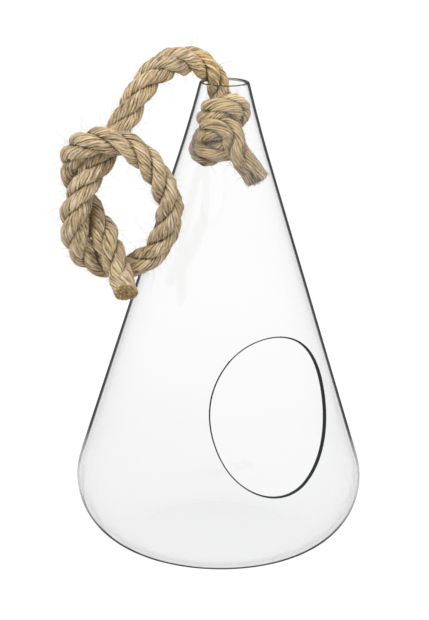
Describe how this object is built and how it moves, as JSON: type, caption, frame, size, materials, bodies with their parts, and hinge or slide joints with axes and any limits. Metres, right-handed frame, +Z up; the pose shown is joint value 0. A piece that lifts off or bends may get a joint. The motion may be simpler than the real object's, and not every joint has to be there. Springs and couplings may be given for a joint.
{
  "type": "hanging glass vase",
  "caption": "Hanging blown glass vase shaped as a rounded cone, with an egg-shaped side opening and a thick twisted rope knotted inside the neck and tied in a ring outside",
  "frame": {"origin": "middle of the glass base, on the surface that it stands on", "axes": "+Z up along the vase's axis, -Y the front, with the side opening at the front right and the rope's ring at the front left"},
  "size_m": [0.1893, 0.1839, 0.3223],
  "materials": {
    "clear_glass": "clear blown glass, fire-polished lip and opening",
    "jute": "three-strand laid natural jute rope, hairy, undyed"
  },
  "bodies": {
    "root": {"glass_vase": "clear_glass", "rope": "jute"}
  },
  "joints": []
}
